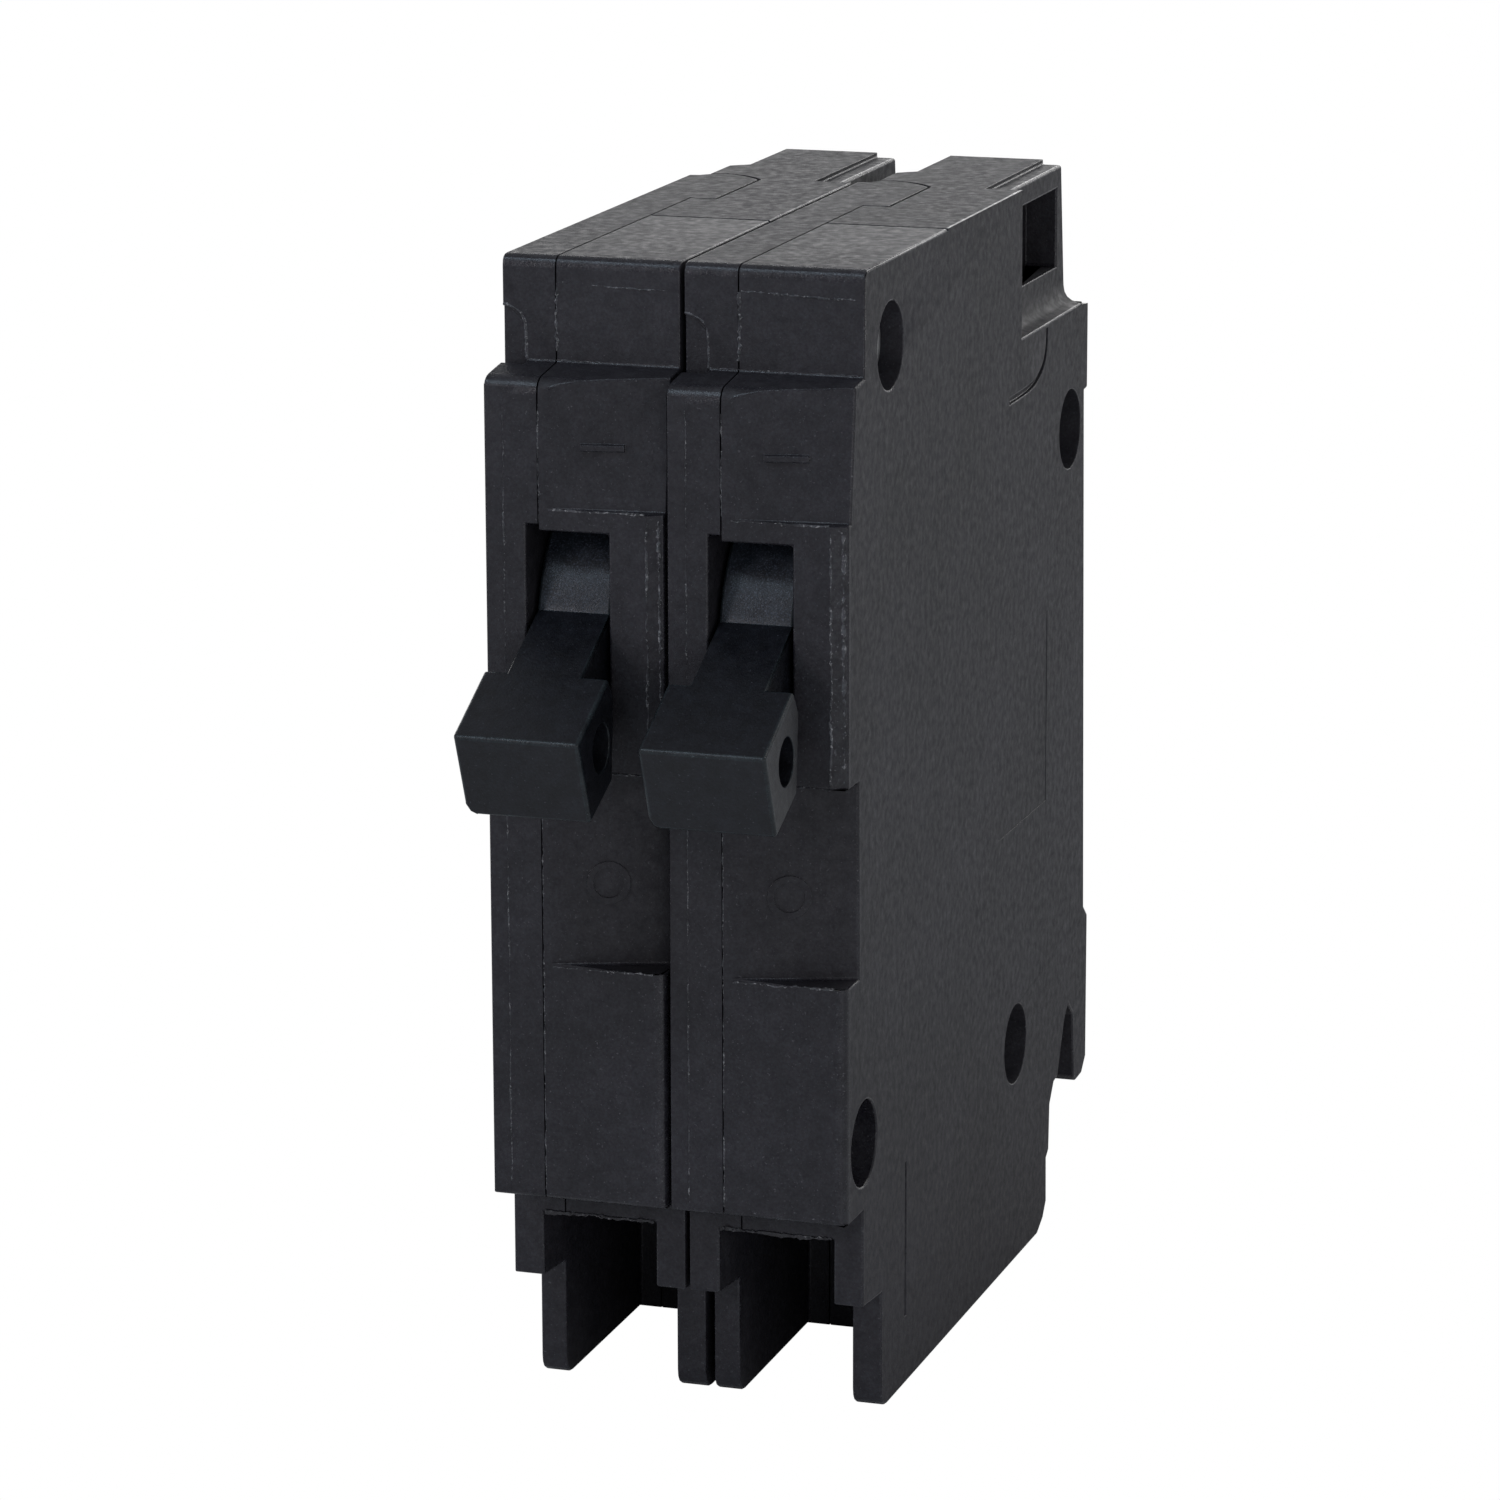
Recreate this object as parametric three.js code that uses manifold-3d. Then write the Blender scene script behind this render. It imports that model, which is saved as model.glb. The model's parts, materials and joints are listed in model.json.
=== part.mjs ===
// Twin plug-on circuit breaker: two half-width poles side by side, each with its own moulded
// base and cover, toggle handle, contacts, arc plates, thermal-magnetic trip and wire clamp.
// Sizes are in millimetres. X runs across the two poles, +Y runs from the handles to the
// back, and +Z runs from the load end to the line end. Inside a pole, x starts at the outer
// face of the cover, y at the shoulder's front face and z at the top face.

import * as THREE from 'three';
import { mergeVertices } from 'three/addons/utils/BufferGeometryUtils.js';
import Module from 'manifold-3d';

const wasm = await Module();
wasm.setup();

// Driving dimensions
const HEIGHT = 80.5;
const POLE_PITCH = 12.85;
const POLE_WIDTH = 12.55;
const OUTER_X = 12.7;
const SEAM_X = 3.8;
const SEAM_GAP = 0.06;
const WALL = 1.3;
const NOSE_Y = -3.92;
const NOSE_TOP = -7.7;
const NOSE_BOTTOM = -64.67;
const SHELF_BOTTOM = -71.6;
const LEG_Y = 4.38;
const BACK_Y = 59.0;
const STEP_OUT_Y = 57.4;
const HANDLE_TIP_Y = -14.77;
const SHOULDER_ROUND = 0.8;
const NOSE_ROUND = 1.0;
const LEG_ROUND = 1.5;
const OUTER_ROUND = 0.8;
const THROUGH = 2;

const WINDOW = { left: 2.9, right: 8.75, top: -17.9, bottom: -33.1 };
const PIVOT = { y: 6.5, z: -25.5 };
const DRUM_RADIUS = 9.4;
const DRUM_CLEARANCE = 0.4;
const HANDLE_NECK = { left: 3.2, right: 8.45 };
const HANDLE_HEAD = { left: 1.6, right: 10.35 };
const TAIL_LENGTH = 7.5;
const TAIL_ANGLE = THREE.MathUtils.degToRad(17);
const ARM_ANGLE = THREE.MathUtils.degToRad(9);
const ARM_CLOSED_ANGLE = THREE.MathUtils.degToRad(38);
const ARM_LAYER = { left: 5.0, right: 6.6 };
const CRADLE_LAYER = { left: 7.4, right: 8.6 };
const CRADLE_PIVOT = { y: 24, z: -31 };
const SPRING_X = 3.4;
const CONDUCTOR = 1.0;

const WIRE_POCKET = { left: 2.2, right: 10.4, back: 20.3, top: -58.2, mouth: -67.3 };
const CLAMP_TILT = THREE.MathUtils.degToRad(25);
const LANDING = { y: 14.0, z: -63.2 };
const POLE_MIDDLE = 6.2;

const RIVETS = [
  { name: 'rivet_top_front', y: 5.9, z: -5.9, sink: 2.3 },
  { name: 'rivet_top_back', y: 52.4, z: -19.8, sink: 3.3 },
  { name: 'rivet_bottom_back', y: 38.5, z: -63.6, sink: 3.3 },
  { name: 'rivet_bottom_front', y: 0.2, z: -59.9, sink: 3.3 },
];
const RIVET_SHANK = 1.6;
const RIVET_HOLE = 1.95;
const RIVET_HEAD = { radius: 2.7, height: 0.9, rim: 0.75, bore: 1.0, boreDepth: 3.0 };
const SINK_RADIUS = 3.0;
const COVER_SINK = 1.7;
const BOSS_RADIUS = 4.0;
const ROUND = 20;
const FINE = 32;

// Closed geometry to solid and back

function solid(geometry) {
  const plain = geometry.clone();
  plain.deleteAttribute('normal');
  plain.deleteAttribute('uv');
  const merged = mergeVertices(plain, 1e-5);
  const vertProperties = new Float32Array(merged.attributes.position.array);
  const triVerts = new Uint32Array(merged.index.array);
  return new wasm.Manifold(new wasm.Mesh({ numProp: 3, vertProperties, triVerts }));
}

function surface(body) {
  const mesh = body.getMesh();
  const geometry = new THREE.BufferGeometry();
  geometry.setAttribute('position', new THREE.BufferAttribute(new Float32Array(mesh.vertProperties), 3));
  geometry.setIndex(new THREE.BufferAttribute(new Uint32Array(mesh.triVerts), 1));
  const flat = geometry.toNonIndexed();
  flat.computeVertexNormals();
  return flat;
}

function joined(pieces) {
  return pieces.map(solid).reduce((whole, piece) => whole.add(piece));
}

function cut(body, tools) {
  return tools.reduce((whole, tool) => whole.subtract(solid(tool)), body);
}

// Basic forms

function extrudeShape(points, depth) {
  const shape = new THREE.Shape(points.map(([u, v]) => new THREE.Vector2(u, v)));
  return new THREE.ExtrudeGeometry(shape, { depth, bevelEnabled: false });
}

// A side-view outline in y and z, carried from one x to another
function sideSlab(points, x0, x1) {
  const geometry = extrudeShape(points, x1 - x0);
  const turn = new THREE.Matrix4().makeBasis(
    new THREE.Vector3(0, 1, 0),
    new THREE.Vector3(0, 0, 1),
    new THREE.Vector3(1, 0, 0),
  );
  return geometry.applyMatrix4(turn).translate(x0, 0, 0);
}

// A plan outline in x and y, carried from one z to another
function planSlab(points, z0, z1) {
  return extrudeShape(points, z1 - z0).translate(0, 0, z0);
}

// A front-view outline in x and z, carried from one y to another
function frontSlab(points, y0, y1) {
  const turn = new THREE.Matrix4().makeRotationX(Math.PI / 2);
  return extrudeShape(points, y1 - y0).applyMatrix4(turn).translate(0, y1, 0);
}

function block(x0, x1, y0, y1, z0, z1) {
  const geometry = new THREE.BoxGeometry(x1 - x0, y1 - y0, z1 - z0);
  return geometry.translate((x0 + x1) / 2, (y0 + y1) / 2, (z0 + z1) / 2);
}

function rodX(radius, x0, x1, y, z, sides = ROUND) {
  const geometry = new THREE.CylinderGeometry(radius, radius, x1 - x0, sides);
  return geometry.rotateZ(Math.PI / 2).translate((x0 + x1) / 2, y, z);
}

function rectangle(u0, u1, v0, v1) {
  return [[u0, v0], [u1, v0], [u1, v1], [u0, v1]];
}

// A rounded corner: a curve that leaves one edge and joins the next at a distance from the corner
function roundedCorner(before, corner, after, reach) {
  const [start, turn, end] = [before, corner, after].map(([u, v]) => new THREE.Vector2(u, v));
  const enter = turn.clone().add(start.sub(turn).setLength(reach));
  const leave = turn.clone().add(end.sub(turn).setLength(reach));
  const steps = 4;
  return new THREE.QuadraticBezierCurve(enter, turn, leave).getPoints(steps).map(({ x, y }) => [x, y]);
}

// The outline of a strip of even thickness that follows a bent centre line
function stripOutline(path, thickness) {
  const nodes = path.map(([u, v]) => new THREE.Vector2(u, v));
  const left = [];
  const right = [];
  nodes.forEach((node, i) => {
    const before = nodes[Math.max(i - 1, 0)];
    const after = nodes[Math.min(i + 1, nodes.length - 1)];
    const arriving = (i === 0 ? after.clone().sub(node) : node.clone().sub(before)).normalize();
    const leaving = (i === nodes.length - 1 ? arriving.clone() : after.clone().sub(node)).normalize();
    const normal = new THREE.Vector2(-arriving.y - leaving.y, arriving.x + leaving.x).normalize();
    const stretch = thickness / 2 / normal.dot(new THREE.Vector2(-arriving.y, arriving.x));
    left.push([node.x + normal.x * stretch, node.y + normal.y * stretch]);
    right.unshift([node.x - normal.x * stretch, node.y - normal.y * stretch]);
  });
  return [...left, ...right];
}

// A point at a distance along and across a direction in the side view
function along(start, angle, distance, across = 0) {
  return [
    start.y + distance * Math.cos(angle) - across * Math.sin(angle),
    start.z + distance * Math.sin(angle) + across * Math.cos(angle),
  ];
}

// Moulded shells

// The side view of a pole: shoulder, nose, terminal legs, flat load end, rail hook and back
function poleOutline() {
  const backTop = [54.4, 0];
  const ledge = [0, -7.15];
  const legTop = [LEG_Y, SHELF_BOTTOM - 0.4];
  const loadEndBack = [45.2, -HEIGHT];
  return [
    ...roundedCorner(backTop, [0, 0], ledge, SHOULDER_ROUND), ledge,
    ...roundedCorner(ledge, [NOSE_Y, NOSE_TOP], [NOSE_Y, NOSE_BOTTOM], NOSE_ROUND),
    ...roundedCorner([NOSE_Y, NOSE_TOP], [NOSE_Y, NOSE_BOTTOM], [0, NOSE_BOTTOM], NOSE_ROUND / 2),
    [0, NOSE_BOTTOM], [0, SHELF_BOTTOM], legTop,
    ...roundedCorner(legTop, [LEG_Y, -HEIGHT], loadEndBack, LEG_ROUND),
    loadEndBack, [46.8, 0.8 - HEIGHT], [47.7, -78.6], [47.6, -75.2],
    [48.3, -74.7], [48.5, -71.2], [49.6, -69.8], [50.7, -69.6], [52.6, -65.6], [53.6, -64.7],
    [54.9, -65.8], [55.4, -71.0], [56.0, -71.5], [57.8, -71.4], [BACK_Y, -70.3], [BACK_Y, -58.9],
    [57.9, -58.0], [56.5, -17.6], [STEP_OUT_Y, -17.5], [STEP_OUT_Y, -11.1], [55.6, -10.9], backTop,
  ];
}

// The room for the mechanism, inside the walls
function chamberOutline() {
  return [
    [1.4, -1.5], [37, -1.5], [37, -12.4], [54.9, -12.4], [55.2, -57], [50, -62.5], [46.2, -68.5],
    [46.2, -78.8], [21.8, -78.8], [21.8, -56.4], [1.4, -56.4],
  ];
}

// The pocket that takes the wire from the load end, under the shelf
function pocketOutline() {
  const { back, top, mouth } = WIRE_POCKET;
  return [
    [NOSE_Y, mouth], [LEG_Y + 0.2, mouth + 0.8], [LEG_Y + 0.2, top], [back, top],
    [back, -HEIGHT - THROUGH], [NOSE_Y, -HEIGHT - THROUGH],
  ];
}

// The top edge of the cover reaches over the base with a round-ended tongue
function tongueOutline(margin) {
  return [
    [SEAM_X - 2, 28.3 - margin], [5.6 + margin, 28.3 - margin], [5.6 + margin, 38.2 + margin],
    [4.9 + margin, 39.0 + margin], [4.05 + margin, 39.7 + margin], [3.3, 40.15 + margin],
    [2.4, 40.4 + margin], [1.5, 40.1 + margin], [0.75, 39.3 + margin], [-1, 38.9 + margin],
  ];
}

const TONGUE_BOTTOM = -1.3;
const TONGUE_GAP = 0.22;
const HANDLE_BORE = 1.45;
const CRADLE_BORE = 1.3;
const JAW_BLOCK = { bottom: -10.75, wide: 1.35, narrow: 2.6, step: 45.6 };
const JAW_WINDOW = { front: 43.8, back: 53.3, top: -2.0, bottom: -7.8 };
const JAW_RECESS = { front: 38.7, floor: 11.15, bottom: -10.8, lipWidth: 1.4, lipDepth: 0.35 };
const LINE_DUCT = { left: 4.2, right: 9.8, front: 36.9, back: 53.2, top: -1.4, bottom: -9.4 };

function rivetBoss(rivet, x0, x1) {
  return rodX(BOSS_RADIUS, x0, x1, rivet.y, rivet.z);
}

// A through hole with a counterbore that goes inward from an outer face
function rivetCuts(rivet, outerX, inward, sink) {
  const floor = outerX + inward * sink;
  const lip = outerX - inward;
  return [
    rodX(RIVET_HOLE, -THROUGH, POLE_WIDTH + THROUGH, rivet.y, rivet.z),
    rodX(SINK_RADIUS, Math.min(lip, floor), Math.max(lip, floor), rivet.y, rivet.z, FINE),
  ];
}

// A panel that falls away from the seam towards the outer face of the base
function slopedPanelCut(top, bottom, depthTop, depthBottom) {
  const near = SEAM_X + 0.6;
  const far = POLE_WIDTH + 1;
  const front = NOSE_Y - 1;
  const corners = [
    [near, NOSE_Y, top], [far, NOSE_Y + depthTop, top], [far, front, top], [near, front, top],
    [near, NOSE_Y, bottom], [far, NOSE_Y + depthBottom, bottom], [far, front, bottom], [near, front, bottom],
  ];
  const faces = [
    [0, 3, 2], [0, 2, 1], [4, 5, 6], [4, 6, 7], [0, 1, 5], [0, 5, 4],
    [1, 2, 6], [1, 6, 5], [2, 3, 7], [2, 7, 6], [3, 0, 4], [3, 4, 7],
  ];
  const geometry = new THREE.BufferGeometry();
  geometry.setAttribute('position', new THREE.Float32BufferAttribute(corners.flat(), 3));
  geometry.setIndex(faces.flat().reverse());
  return geometry;
}

// Raised line for on and raised ring for off, standing a little proud of the sloped panels
const ON_PANEL = { top: NOSE_TOP + 1, bottom: -16.4, depthTop: 1.0, depthBottom: 2.2, slope: 0.184 };
const OFF_PANEL = { top: -34.3, bottom: -48.0, depthTop: 3.1, depthBottom: 3.3, slope: 0.336 };
const MARK_STROKE = 0.45;
const MARK_SPAN = 3.0;

function onMark() {
  const depth = 0.8;
  const line = new THREE.BoxGeometry(MARK_SPAN, depth, MARK_STROKE);
  return line.rotateZ(ON_PANEL.slope).translate(8.1, -2.96, -12.2);
}

function offMark() {
  const depth = 0.8;
  const ring = new THREE.Shape().absarc(0, 0, MARK_SPAN / 2, 0, 2 * Math.PI);
  ring.holes.push(new THREE.Path().absarc(0, 0, MARK_SPAN / 2 - MARK_STROKE, 0, 2 * Math.PI));
  const geometry = new THREE.ExtrudeGeometry(ring, { depth, bevelEnabled: false, curveSegments: ROUND });
  return geometry.rotateX(Math.PI / 2).rotateZ(OFF_PANEL.slope).translate(7.9, -2.0, -42.2);
}

// Fine grooves that the mould leaves on the base: a hooked line and a short upright line on the outer
// face, the sunk field for a label there, and a line across the top face
function sideMarks() {
  const groove = { width: 0.3, depth: 0.35 };
  const hook = { width: 0.5, depth: 0.3 };
  const labelDepth = 0.03;
  const x0 = POLE_WIDTH - groove.depth;
  const x1 = POLE_WIDTH + 1;
  const hookTurns = [[45.7, -11.1], [45.5, -12.6], [44.4, -13.9], [41.6, -14.7], [35.6, -14.85]];
  const hookCurve = new THREE.SplineCurve(hookTurns.map(([y, z]) => new THREE.Vector2(y, z)));
  const hookLine = hookCurve.getPoints(ROUND).map((point) => [point.x, point.y]);
  return [
    sideSlab(stripOutline(hookLine, hook.width), POLE_WIDTH - hook.depth, x1),
    sideSlab(rectangle(10.0, 10.0 + groove.width, -75.5, -64.2), x0, x1),
    sideSlab(rectangle(33.5, 46.4, -46.9, -32.4), POLE_WIDTH - labelDepth, x1),
    block(SEAM_X, x1, 19.3, 19.3 + groove.width, -0.2, 1),
  ];
}

// Recess beside the line jaw: a flat floor that curves out at its lower end, and a lowered lip above it
function jawRecess() {
  const { front, floor, bottom, lipWidth, lipDepth } = JAW_RECESS;
  const beyond = POLE_WIDTH + 1;
  const foot = roundedCorner([floor, 0], [floor, bottom + 0.2], [POLE_WIDTH, bottom], lipWidth - 0.3);
  const outline = [[beyond, 1], [floor, 1], ...foot, [beyond, bottom]];
  return [
    frontSlab(outline, front, BACK_Y + THROUGH),
    block(floor - lipWidth, beyond, front, BACK_Y, -lipDepth, 1),
  ];
}

// The slot through the pocket's roof that the load strap comes down
function strapSlot() {
  return sideSlab(rectangle(11.0, 12.9, -59, -56), 3, 9.7);
}

// Everything of the nose that the base gives way to: two sloped panels, the worn corner between them,
// the handle's window and the drum behind it
function noseCuts() {
  const on = ON_PANEL;
  const off = OFF_PANEL;
  const corner = [[11.4, NOSE_Y], [11.4, NOSE_Y - 1], [13, NOSE_Y - 1], [13, NOSE_Y + 0.7]];
  const outside = [POLE_WIDTH, NOSE_Y];
  const rounded = roundedCorner([SEAM_X, NOSE_Y], outside, [POLE_WIDTH, 0], OUTER_ROUND);
  const far = POLE_WIDTH + 1;
  const shaving = [
    ...rounded, [far, NOSE_Y + OUTER_ROUND], [far, NOSE_Y - 1], [POLE_WIDTH - OUTER_ROUND, NOSE_Y - 1],
  ];
  return [
    planSlab(shaving, NOSE_BOTTOM - 1, NOSE_TOP + 1),
    slopedPanelCut(on.bottom, on.top, on.depthTop, on.depthBottom),
    slopedPanelCut(off.bottom, off.top, off.depthBottom, off.depthTop),
    planSlab(corner, off.top - 0.1, on.bottom + 0.1),
    sideSlab(rectangle(NOSE_Y - 1, 4, WINDOW.bottom, WINDOW.top), SEAM_X - 1, WINDOW.right),
    rodX(DRUM_RADIUS + DRUM_CLEARANCE, SEAM_X - 1, WINDOW.right - 0.05, PIVOT.y, PIVOT.z, FINE),
  ];
}

// The line end of the base: a block beside the stab notch, with the tongue's bed and the jaw's duct cut in
function jawBlock(seam) {
  const { wide, narrow, step, bottom } = JAW_BLOCK;
  const front = 38;
  const back = 54.4;
  const outline = [
    [wide, front], [wide, step - 1], [narrow, step], [narrow, back], [seam + 1, back], [seam + 1, front],
  ];
  return solid(planSlab(outline, bottom + 0.2, 0));
}

function lineEndCuts(seam) {
  const duct = LINE_DUCT;
  const hole = JAW_WINDOW;
  return [
    block(duct.left, duct.right, duct.front, duct.back, duct.bottom, duct.top),
    planSlab(tongueOutline(TONGUE_GAP), TONGUE_BOTTOM - TONGUE_GAP, 1),
    block(-1, seam, 30, 40.4 + TONGUE_GAP, JAW_BLOCK.bottom - 1, TONGUE_BOTTOM),
    block(-1, duct.left + 1, 46.6, 52.9, -7.6, -2.0),
    block(duct.right - 1, POLE_WIDTH + 1, hole.front, hole.back, hole.bottom, hole.top),
    ...jawRecess(),
  ];
}

function makeBase() {
  const seam = SEAM_X + SEAM_GAP;
  const bossEnd = POLE_WIDTH - 0.5;
  const boreEnd = 11.3;
  const calibrationHole = rodX(1.5, 0, 10, 0, 0).rotateZ(Math.PI / 2);
  let body = solid(sideSlab(poleOutline(), seam, POLE_WIDTH));
  body = cut(body, [sideSlab(chamberOutline(), SEAM_X - 1, POLE_WIDTH - WALL)]);
  for (const rivet of RIVETS) {
    body = body.add(solid(rivetBoss(rivet, seam, bossEnd)));
  }
  body = body.add(solid(rodX(2.7, WINDOW.right, bossEnd, PIVOT.y, PIVOT.z)));
  body = body.add(solid(rodX(2.3, 8.9, bossEnd, CRADLE_PIVOT.y, CRADLE_PIVOT.z)));
  body = body.add(jawBlock(seam));
  body = body.intersect(solid(sideSlab(poleOutline(), -1, POLE_WIDTH)));
  body = cut(body, [
    ...lineEndCuts(seam),
    ...noseCuts(),
    rodX(HANDLE_BORE, 8, boreEnd, PIVOT.y, PIVOT.z),
    rodX(CRADLE_BORE, 8, boreEnd, CRADLE_PIVOT.y, CRADLE_PIVOT.z),
    sideSlab(pocketOutline(), SEAM_X - 1, WIRE_POCKET.right),
    calibrationHole.translate(POLE_MIDDLE, 52, -53.3),
    strapSlot(),
    ...sideMarks(),
    ...RIVETS.flatMap((rivet) => rivetCuts(rivet, POLE_WIDTH, -1, rivet.sink)),
  ]);
  const noseRoom = planSlab(rectangle(SEAM_X, POLE_WIDTH, NOSE_Y, 0), NOSE_BOTTOM, NOSE_TOP);
  const marks = solid(onMark()).add(solid(offMark())).intersect(solid(noseRoom));
  return surface(body.add(marks));
}

function makeCover() {
  const seam = SEAM_X - SEAM_GAP;
  const panel = { depth: 0.22, right: 1.65 };
  const panelTop = roundedCorner([-1, -3.2], [panel.right, -3.9], [panel.right, -9], 1.2);
  const lip = { right: 1.3, depth: 0.06 };
  const legStep = 0.3;
  let body = solid(sideSlab(poleOutline(), 0, seam));
  body = cut(body, [sideSlab(chamberOutline(), WALL, SEAM_X + 1)]);
  for (const rivet of RIVETS) {
    body = body.add(solid(rivetBoss(rivet, 0.5, seam)));
  }
  body = body.add(solid(rodX(2.7, 0.5, WINDOW.left, PIVOT.y, PIVOT.z)));
  body = body.intersect(solid(sideSlab(poleOutline(), 0, seam)));
  body = cut(body, [block(-1, 5, 36, BACK_Y + 1, JAW_BLOCK.bottom, 1)]);
  const tongue = planSlab(tongueOutline(0), TONGUE_BOTTOM, 0);
  const rim = block(0, seam, 35.5, 38.6, JAW_BLOCK.bottom - 0.5, 0);
  const kept = solid(tongue).intersect(solid(block(0, 10, 20, 45, -2, 0)));
  body = body.add(kept).add(solid(rim));
  body = cut(body, [
    frontSlab([...panelTop, [panel.right, -9], [-1, -9], [-1, -3.2]], -0.5, panel.depth),
    block(-1, lip.right, NOSE_Y - 1, NOSE_Y + lip.depth, NOSE_BOTTOM - 1, NOSE_TOP + 1),
    sideSlab(rectangle(NOSE_Y - 1, 4, WINDOW.bottom, WINDOW.top + 0.4), WINDOW.left, SEAM_X + 1),
    rodX(DRUM_RADIUS + DRUM_CLEARANCE, WINDOW.left, SEAM_X + 1, PIVOT.y, PIVOT.z, FINE),
    rodX(HANDLE_BORE, 1.5, 4, PIVOT.y, PIVOT.z),
    sideSlab(pocketOutline(), WIRE_POCKET.left, SEAM_X + 1),
    block(-1, legStep, 0, 15, -HEIGHT - 1, SHELF_BOTTOM - 0.2),
    strapSlot(),
    ...RIVETS.flatMap((rivet) => rivetCuts(rivet, 0, 1, COVER_SINK)),
  ]);
  return surface(body);
}

// A tubular rivet that runs through both poles, with its heads just clear of the counterbores' floors
function makeRivet(rivet) {
  const clearance = 0.1;
  const { radius, height, rim, bore, boreDepth } = RIVET_HEAD;
  const right = OUTER_X - rivet.sink + clearance;
  const left = -(OUTER_X - COVER_SINK + clearance);
  const profile = [
    [0, left - height + boreDepth], [bore, left - height + boreDepth], [bore, left - height],
    [radius, left - rim], [radius, left], [RIVET_SHANK, left + clearance / 2],
    [RIVET_SHANK, right - clearance / 2], [radius, right], [radius, right + rim],
    [bore, right + height], [bore, right + height - boreDepth], [0, right + height - boreDepth],
  ];
  const points = profile.map(([r, h]) => new THREE.Vector2(r, h));
  const geometry = new THREE.LatheGeometry(points, 14).rotateZ(-Math.PI / 2);
  return surface(solid(geometry)).translate(0, rivet.y, rivet.z);
}

// Toggle handle: wide head, narrower neck, drum that closes the window, hub and tail

function drumSector(inner, outer, x0, x1) {
  const shape = new THREE.Shape();
  const start = Math.PI - THREE.MathUtils.degToRad(60);
  const end = Math.PI + THREE.MathUtils.degToRad(96);
  shape.absarc(PIVOT.y, PIVOT.z, outer, start, end, false);
  shape.absarc(PIVOT.y, PIVOT.z, inner, end, start, true);
  const arcSteps = 16;
  const points = shape.getPoints(arcSteps).map((point) => [point.x, point.y]);
  return sideSlab(points, x0, x1);
}

function makeHandle() {
  const { left, right } = HANDLE_NECK;
  const webRight = left + 1.5;
  const headBottom = -35.58;
  const head = [[-8.56, -26.57], [HANDLE_TIP_Y, -29.72], [-12.37, headBottom], [-7.94, -33.64], [-7.49, -28.14]];
  const neck = [[2, -21.9], [-2.75, -23.6], [-8.56, -26.57], [-7.94, -33.64], [-0.8, -30.5], [2, -29.6]];
  const tailEnd = along(PIVOT, TAIL_ANGLE, TAIL_LENGTH);
  const tail = stripOutline([[PIVOT.y, PIVOT.z], along(PIVOT, TAIL_ANGLE, TAIL_LENGTH + 1.3)], 3.6);
  const tieHole = { radius: 1.65, y: -10.15, z: -30.95 };
  const softened = 0.9;
  const corner = [
    [HANDLE_HEAD.left - 1, headBottom - 1], [HANDLE_HEAD.left + softened, headBottom - 1],
    [HANDLE_HEAD.left + softened, headBottom], [HANDLE_HEAD.left + softened / 3, headBottom + softened / 3],
    [HANDLE_HEAD.left, headBottom + softened], [HANDLE_HEAD.left - 1, headBottom + softened],
  ];
  let body = joined([
    sideSlab(head, HANDLE_HEAD.left, HANDLE_HEAD.right),
    sideSlab(neck, left, right),
    drumSector(7.0, DRUM_RADIUS, left, right),
    drumSector(1.0, 8.0, left, webRight),
    rodX(3.0, left, right, PIVOT.y, PIVOT.z),
    sideSlab(tail, left, webRight),
    rodX(0.9, left, 6.8, tailEnd[0], tailEnd[1], 16),
  ]);
  body = cut(body, [
    rodX(HANDLE_BORE, 0, POLE_WIDTH, PIVOT.y, PIVOT.z),
    rodX(tieHole.radius, 0, POLE_WIDTH, tieHole.y, tieHole.z, FINE),
    frontSlab(corner, HANDLE_TIP_Y - 1, NOSE_Y - 3),
  ]);
  return surface(body);
}

function makeHandlePin() {
  return rodX(1.2, 1.7, 11.0, PIVOT.y, PIVOT.z, 20);
}

// Moving contact arm, hung on the tail of the handle

function onArm(geometry) {
  const [y, z] = along(PIVOT, TAIL_ANGLE, TAIL_LENGTH);
  return geometry.rotateX(ARM_ANGLE).translate(0, y, z);
}

const CONTACT_REACH = 23.0;
const CONTACT_RADIUS = 1.7;
const CONTACT_FACE = 1.9;

function makeContactArm() {
  const { left, right } = ARM_LAYER;
  const bar = [
    [-1.9, -1.2], [-1.2, -1.9], [1.5, -1.9], [6, -1.4], [25, -1.0], [25.4, -0.4], [25.4, 0.7],
    [6, 1.4], [1.5, 1.9], [-1.2, 1.9], [-1.9, 1.2],
  ];
  let body = joined([
    sideSlab(bar, left, right),
    block(3.9, 7.7, 20.6, 25.2, -0.4, 0.8),
    rodX(0.5, 2.3, left + 0.2, 12, 0, 12),
  ]);
  body = cut(body, [rodX(1.2, 0, POLE_WIDTH, 0, 0, 16)]);
  return onArm(surface(body));
}

function contactButton(radius, from, to) {
  const geometry = new THREE.CylinderGeometry(radius, radius, to - from, 20);
  return geometry.rotateX(Math.PI / 2).translate(POLE_MIDDLE - 0.4, CONTACT_REACH, (from + to) / 2);
}

function makeMovingContact() {
  return onArm(contactButton(CONTACT_RADIUS, 1.0, CONTACT_FACE));
}

function makeFixedContact() {
  const [y, z] = along(PIVOT, -TAIL_ANGLE, TAIL_LENGTH);
  const face = CONTACT_FACE + 0.2;
  return contactButton(CONTACT_RADIUS + 0.1, face, face + 1).rotateX(ARM_CLOSED_ANGLE).translate(0, y, z);
}

function makeLineStrap() {
  const [y, z] = along(PIVOT, -TAIL_ANGLE, TAIL_LENGTH);
  const offset = CONTACT_FACE + 1.4 + CONDUCTOR / 2;
  const start = along({ y, z }, ARM_CLOSED_ANGLE, CONTACT_REACH - 3.2, offset);
  const level = -5.2;
  const bend = [start[0] + (level - start[1]) / Math.tan(ARM_CLOSED_ANGLE), level];
  return sideSlab(stripOutline([start, bend, [46.7, level]], CONDUCTOR), 4.7, 8.6);
}

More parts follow.
